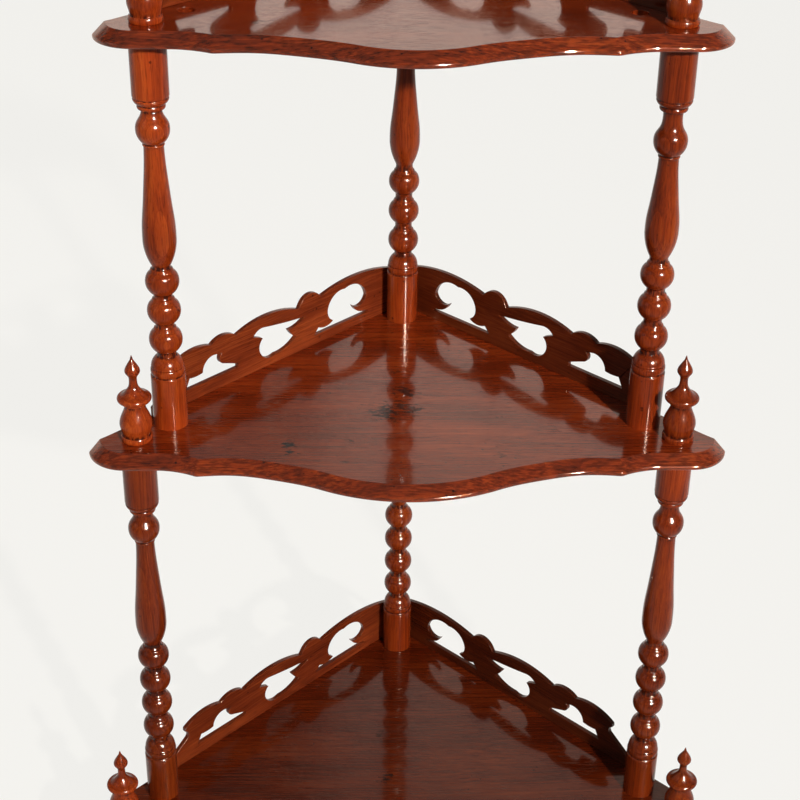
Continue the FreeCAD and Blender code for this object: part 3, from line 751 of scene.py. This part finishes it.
def give_grain(piece, turn, pith, tone):
    """Writes a fret's tone and painted shade, and as grain its points turned about the vertical, plus the pith.
    """
    points = np.empty(len(piece.data.vertices) * 3, np.float32)
    piece.data.vertices.foreach_get("co", points)
    points = points.reshape(-1, 3)
    sine, cosine = math.sin(turn), math.cos(turn)
    along = points @ np.array([[cosine, -sine, 0], [sine, cosine, 0], [0, 0, 1]])
    grain = piece.data.attributes.new("grain", "FLOAT_VECTOR", "POINT")
    grain.data.foreach_set("vector", (along + np.array(pith)).astype(np.float32).ravel())
    shade = piece.data.attributes.new("shade", "FLOAT", "POINT")
    shade.data.foreach_set("value", np.full(len(points), tone, np.float32))


fret_finish = mahogany(
    "polished fretwork mahogany", (0.055, 0.009, 0.003), (0.170, 0.030, 0.009), (0.340, 0.075, 0.020),
    rings=0.10, streaks=0.40, wave=0.8, gloss=0.12, mirror=0.20, sheen=(1.0, 0.62, 0.40), coat=0.25,
    coat_blur=0.10)
fret_rounding = 0.0007
fret_turns = {"left": math.pi / 4, "right": -math.pi / 4}
# How pale each pair of frets is painted, left then right: the right frets are far darker as painted shade, for
# they face away from the light
fret_tones_and_shade = {"bottom": (0.62, 0.27), "middle": (0.65, 0.38), "top": (0.65, 0.38)}
for number, level_name in enumerate(shelves):
    for (side_name, turn), tone in zip(fret_turns.items(), fret_tones_and_shade[level_name]):
        fret = softened_copy(
            f"fret_{level_name}_{side_name}", f"gallery_{level_name}_{side_name}", fret_rounding)
        give_grain(fret, turn, (1.3 * number, 0.05 + 0.02 * number, -0.04 * number), tone)
        finish(fret, fret_finish, "fret_mahogany", f"gallery_{level_name}_{side_name}")


# THE COLUMNS
# Six posts turned by hand from square mahogany stock to one pattern: a plain base, a ring and a dome, a
# run of balls, a vase that tapers up to one more ball, and a plain top. A tenon under each is glued into
# the shelf, and the top is bored for the peg of what stands over it.
sides = 60
post_radius = 17.5
fillet_radius = 16.2
dowel_radius = 8.0
socket_depth = 25.0
end_gap = 1.0
tenon_length = board_thickness - end_gap
peg_length = board_thickness + socket_depth - end_gap


class Outline:
    """Half the outline of a turned piece, as radius and height, drawn upwards from a point on its axis."""

    def __init__(self, height):
        self.runs = [np.array([[0.0, height]])]

    def at(self):
        """Where the outline has got to."""
        return self.runs[-1][-1]

    def line(self, radius, height):
        """A straight to a point."""
        self.runs.append(np.array([[radius, height]]))

    def arc(self, via, end):
        """An arc through one point to another."""
        self.runs.append(arc(self.at(), via, end, 40)[1:])

    def bulge(self, radius, rise, out, up):
        """An arc to a radius over a height, through a point at these shares of its swell and its height."""
        start, foot = self.at()
        swell = abs(radius - start)
        self.arc((min(start, radius) + swell * out, foot + rise * up), (radius, foot + rise))

    def curve(self, points, leaving=(0.0, 1.0)):
        """A smooth curve through points, upright at its end."""
        self.runs.append(smooth_curve([self.at(), *points], np.array(leaving), np.array((0.0, 1.0)), 80)[1:])

    def bead(self, side, peak, height):
        """A half-round ring or hollow on the height reached, from its side's radius out or in to its peak."""
        foot = self.at()[1]
        self.line(side, foot)
        self.arc((peak, foot + height / 2), (side, foot + height))

    def ball(self, side, peak, height, upper_flare):
        """A ball that flares into the necks under and over it: one smooth curve through shares of its swell."""
        foot = self.at()[1]
        self.line(side, foot)
        swell = [(0.05, 0.17), (0.15, 0.55), (0.30, 0.87), (0.49, 1.0), (0.69, 0.87), (0.83, 0.55),
                 (0.93 + upper_flare * 0.2, 0.22), (1.0 + upper_flare * 0.6, 0.04), (1.0 + upper_flare, 0.0)]
        self.curve([(side + (peak - side) * share, foot + height * rise) for rise, share in swell])

    def shared_curve(self, height, start, end, shares, leaving=(0.0, 1.0)):
        """A curve from one radius to another over a height, through points given as shares of both."""
        foot = self.at()[1]
        points = [(end + (start - end) * share, foot + height * rise) for rise, share in shares]
        self.curve([*points, (end, foot + height)], leaving)

    def dowel(self):
        """The tenon or peg at whose end the outline started, up to the foot of the piece at height nought."""
        self.line(dowel_radius, self.at()[1])
        self.line(dowel_radius, 0.0)

    def socket(self):
        """The flat top of a post, with the blind hole that takes a peg from above."""
        top = self.at()[1]
        self.line(socket_radius, top)
        self.line(socket_radius, top - socket_depth)
        self.line(0.0, top - socket_depth)


def turned_piece(name, outline, x, level, pith, shade):
    """The surface of one full turn of an outline about its axis, with the corners eased.

    The outline is set out at small even steps and smoothed with the weights 1 4 6 4 1. A ring of points is
    kept for each 5 degrees that it bends and each 6 mm that it runs. Point (i, j) is at ring i's radius and
    height, j steps round. Hollow grows from 0 to 1 as the radius falls from 0.1 mm to 1 mm under its mean
    nearby, and paints shade into those recesses. The last argument gives how pale the wood is painted at the
    foot, half way up and at the top, and even in between: its own tone, with painted shade on the lower
    columns and the feet.
    """
    step = 0.25
    drawn = evenly(np.concatenate(outline.runs), step)
    padded = np.pad(drawn, ((2, 2), (0, 0)), mode="reflect", reflect_type="odd")
    soft = sum(weight * padded[start:start + len(drawn)] for start, weight in enumerate((1, 4, 6, 4, 1))) / 16
    soft[:, 0] = np.maximum(soft[:, 0], 0)
    run = unit(np.gradient(soft, axis=0))
    heading = np.unwrap(np.arctan2(run[:, 1], run[:, 0]))
    effort = np.cumsum(np.abs(np.diff(heading, prepend=heading[0])) / math.radians(5) + step / 6)
    kept = np.unique(np.append(np.unique(np.floor(effort), return_index=True)[1], len(soft) - 1))
    # Painted shade: rings that lie deeper than their neighbours get a hollow value that darkens them
    nearby = averaged(soft[:, :1], 22, "edge")[:, 0]
    hollow = np.clip((nearby - soft[:, 0] - 0.1) / 0.9, 0, 1)[kept]
    radius, height = soft[kept].T
    turn = np.linspace(0, 2 * math.pi, sides, endpoint=False)
    around = np.stack([np.cos(turn), np.sin(turn)], axis=1)
    outward, upward = run[kept, 1], -run[kept, 0]
    points, normals = (
        np.concatenate([wide[:, None, None] * around[None],
                        np.broadcast_to(tall[:, None, None], (len(radius), sides, 1))], axis=-1).reshape(-1, 3)
        for wide, tall in ((radius, height), (outward, upward)))
    return mesh_object(
        name, points + (x, axis_depth(x), level), [grid_faces(len(radius), sides, True)], normals,
        grain=points[:, [2, 0, 1]] + pith, hollow=np.repeat(hollow, sides),
        shade=np.interp(points[:, 2], np.array((0, 0.5, 1)) * soft[:, 1].max(), shade))


def column_outline(length, ball_count, dowel_length, base_share, neck_share, top_neck_share, top_share):
    """A column's outline from the dowel under it to its socket. The taper over the vase takes up what is left.

    Each share stretches one part, as parts came out a little different on every column turned by hand.
    """
    outline = Outline(-dowel_length)
    outline.dowel()

    # The plain base with an eased edge, two rings, and a dome that ends in a neck
    base = 57.5 * base_share
    outline.line(post_radius, 0.0)
    outline.line(post_radius, base)
    outline.line(fillet_radius, base + 1.3)
    outline.line(fillet_radius, base + 2.0)
    outline.bead(16.4, 17.3, 7.2)
    outline.bead(15.6, 16.5, 2.8)
    foot, dome_top_radius = outline.at()[1], 9.7
    outline.line(16.3, foot)
    outline.bulge(dome_top_radius, 10.2, 0.62, 0.60)
    outline.line(dome_top_radius, foot + 14.5)

    # The run of balls, with hollow necks between them
    ball, flare, neck_radius = 27.0, 0.02, 10.0
    for _ in range(ball_count):
        outline.ball(neck_radius, 16.7, ball, flare)
        outline.bead(neck_radius, 9.2, 6.5 * neck_share - ball * flare)

    # The vase, which swells fast and tapers slowly up to the collar of the top ball
    vase_radius, taper_radius, collar_radius = 16.4, 9.7, 9.8
    outline.bulge(vase_radius, 24.2, 0.76, 0.55)
    collar, ball, flare, neck, ring, dome, fillet = 2.2, 28.2, 0.13, 8.1 * top_neck_share, 4.6, 5.6, 1.2
    top_foot = length - 57.4 * top_share
    taper_top = top_foot - fillet - dome - ring - neck - ball - collar
    outline.shared_curve(taper_top - outline.at()[1], vase_radius, taper_radius,
                         [(0.17, 0.95), (0.37, 0.66), (0.58, 0.38), (0.80, 0.11)])
    outline.bead(collar_radius, 10.6, collar)
    outline.ball(collar_radius, 16.2, ball, flare)
    outline.bead(collar_radius, 9.31, neck - ball * flare)

    # A ring and a dome under a narrow fillet, and the plain top with its edge rounded
    outline.bead(12.6, 13.5, ring)
    outline.bulge(17.1, dome, 0.66, 0.34)
    outline.line(fillet_radius, outline.at()[1])
    outline.line(fillet_radius, top_foot)
    outline.line(15.9, top_foot)
    outline.arc((17.03, top_foot + 0.47), (post_radius, top_foot + 1.6))
    outline.line(post_radius, length)
    outline.socket()
    return outline


turned_finish = mahogany(
    "polished turned mahogany", (0.070, 0.009, 0.003), (0.220, 0.031, 0.005), (0.400, 0.080, 0.012),
    rings=0.16, streaks=0.35, wave=0.6, gloss=0.12, mirror=0.08, sheen=(1.0, 0.62, 0.40), coat=0.30,
    coat_blur=0.15)

# For each bay: the height of the shelf face under it, its clear height and how many balls its columns have
bays = {"lower": (110.0, 458.0, 4), "upper": (581.0, 405.0, 3)}

# For each column: how far out it stands, its four shares, where the middle of its tree was, and how pale it
# is painted at the foot, half way up and at the top: its own tone, with painted shade that makes the lower
# columns darker
column_places = {
    "lower_left": (-272.0, (1.03, 0.87, 0.93, 1.08), (0.0, 31.0, 44.0), (0.46, 0.60, 0.62)),
    "lower_right": (272.0, (0.935, 1.08, 1.31, 0.93), (700.0, -52.0, 20.0), (0.55, 0.65, 1.05)),
    "lower_back": (0.0, (1.0, 1.05, 1.0, 1.0), (1400.0, 12.0, 60.0), (0.62, 0.66, 0.70)),
    "upper_left": (-241.0, (0.99, 0.73, 0.72, 1.0), (2100.0, -24.0, 38.0), (0.95, 0.88, 1.40)),
    "upper_right": (241.0, (1.05, 1.06, 2.0, 0.99), (2800.0, 18.0, 27.0), (0.90, 0.76, 0.74)),
    "upper_back": (0.0, (1.0, 1.23, 1.0, 1.0), (3500.0, 40.0, -30.0), (0.68, 0.74, 0.66)),
}
for column_name, (x, shares, pith, shade) in column_places.items():
    level, length, ball_count = bays[column_name.split("_")[0]]
    outline = column_outline(length, ball_count, tenon_length if x else peg_length, *shares)
    post = turned_piece(f"post_{column_name}", outline, x, level, pith, shade)
    finish(post, turned_finish, "turned_mahogany", f"column_{column_name}")


# THE FINIALS
# A turned urn with a saucer and a pointed bulb over it ends each front corner. Its long peg passes through
# the shelf and is glued into the column or foot underneath.
def finial_outline():
    """A finial's outline: peg, ring, urn, lip, saucer, hollow stem and bulb."""
    outline = Outline(-peg_length)
    outline.dowel()
    ring, urn_height, urn_swell, lip_radius, saucer_radius, stem_radius = 6.0, 34.5, 6.4, 10.0, 15.4, 4.0
    outline.bead(15.1, 16.0, ring)
    outline.line(14.2, ring)
    urn = [(0.32, 1.0), (0.62, 0.66), (0.88, 0.10), (1.0, 0.0)]
    outline.curve([(lip_radius + urn_swell * share, ring + urn_height * rise) for rise, share in urn])
    outline.bead(12.1, 13.0, 3.5)
    outline.bead(saucer_radius, 17.2, 6.0)
    outline.shared_curve(18.0, saucer_radius, stem_radius, [(0.27, 0.40), (0.56, 0.09)], (-1.0, 0.0))
    foot, bulb_height, bulb_radius = outline.at()[1], 27.0, 7.6
    bulb = [(0.12, 0.62), (0.31, 1.0), (0.54, 0.78), (0.74, 0.36), (0.89, 0.15)]
    outline.curve([(bulb_radius * share, foot + bulb_height * rise) for rise, share in bulb])
    outline.line(0.0, foot + bulb_height)
    return outline


# For each finial, where the middle of its tree was. Those on the right are darker
finial_piths = {
    "bottom_left": (100.0, 21.0, 30.0), "bottom_right": (900.0, -26.0, 24.0),
    "middle_left": (1700.0, 14.0, 33.0), "middle_right": (2500.0, 35.0, -9.0),
    "top_left": (3300.0, -19.0, 22.0), "top_right": (4100.0, 28.0, 17.0),
}
for finial_name, pith in finial_piths.items():
    level_name, side_name = finial_name.split("_")
    level, half_span = shelves[level_name][:2]
    x, shade = (-half_span, (1.0, 1.1, 1.0)) if side_name == "left" else (half_span, (0.7, 0.7, 0.7))
    ornament = turned_piece(f"urn_{finial_name}", finial_outline(), x, level + board_thickness, pith, shade)
    finish(ornament, turned_finish, "turned_mahogany", f"finial_{finial_name}")


# THE FEET
# Three short turned feet carry the lowest shelf, each with a small toe, a swelling vase and a plain neck
# that is bored for the peg from above.
foot_height, foot_half_span = shelves["bottom"][:2]


def foot_outline():
    """A foot's outline from its sole up to its socket: toe, vase, neck, ring and plain top."""
    outline = Outline(0.0)
    toe, toe_radius, vase_height, vase_swell, neck_radius, top_foot = 5.0, 10.5, 37.0, 7.0, 10.8, 64.7
    outline.line(toe_radius, 0.0)
    outline.bead(toe_radius, 12.0, toe)
    vase = [(0.25, 0.22), (0.55, 0.78), (1.0, 1.0)]
    outline.curve([(toe_radius + vase_swell * share, toe + vase_height * rise) for rise, share in vase])
    outline.bulge(neck_radius, 13.0, 0.76, 0.45)
    outline.bead(neck_radius, 9.936, 3.4)
    outline.bead(15.9, 16.8, 5.0)
    outline.line(fillet_radius, outline.at()[1])
    outline.line(fillet_radius, top_foot)
    outline.line(post_radius, top_foot)
    outline.line(post_radius, foot_height)
    outline.socket()
    return outline


# How pale the feet are painted at the sole, half way up and at the top: as dark as the lowest columns, with
# painted shade low down, and a little darker towards the top
foot_shade = (0.70, 0.65, 0.60)
for foot_name, x, pith in (("left", -foot_half_span, (50.0, 20.0, 34.0)),
                           ("right", foot_half_span, (850.0, -30.0, 18.0)),
                           ("back", 0.0, (1650.0, 9.0, 41.0))):
    leg = turned_piece(f"leg_{foot_name}", foot_outline(), x, 0.0, pith, foot_shade)
    finish(leg, turned_finish, "turned_mahogany", f"foot_{foot_name}")


# THE SCREWS
# Slotted steel wood screws, four to a gallery, countersunk from under the shelves into the galleries'
# lower edges. They stay as their solids are, and take on the dull, lightly rusted look of old steel.
screw_steel, tree, shader = new_material("dull screw steel")
turned_marks = node(tree, "ShaderNodeTexNoise", Vector=node(tree, "ShaderNodeTexCoord").outputs["Object"],
                    Scale=900.0, Detail=3.0)
tree.links.new(spread(tree, turned_marks.outputs["Fac"], -0.4, 1.6), shader.inputs["Roughness"])
bare_steel, rust = (0.30, 0.28, 0.26, 1), (0.13, 0.08, 0.05, 1)
rusted = blend(tree, spread(tree, turned_marks.outputs["Fac"], 0.5, 0.7), bare_steel, rust)
tree.links.new(rusted, shader.inputs["Base Color"])
shader.inputs["Metallic"].default_value = 0.9
for level_name in shelves:
    frame["nodes"][f"screws_{level_name}"].data.materials[0] = screw_steel


# THE COLOURS
# Colours are shown as they are, with no film curve over them.
scene.view_settings.view_transform = "Standard"
bpy.context.view_layer.update()
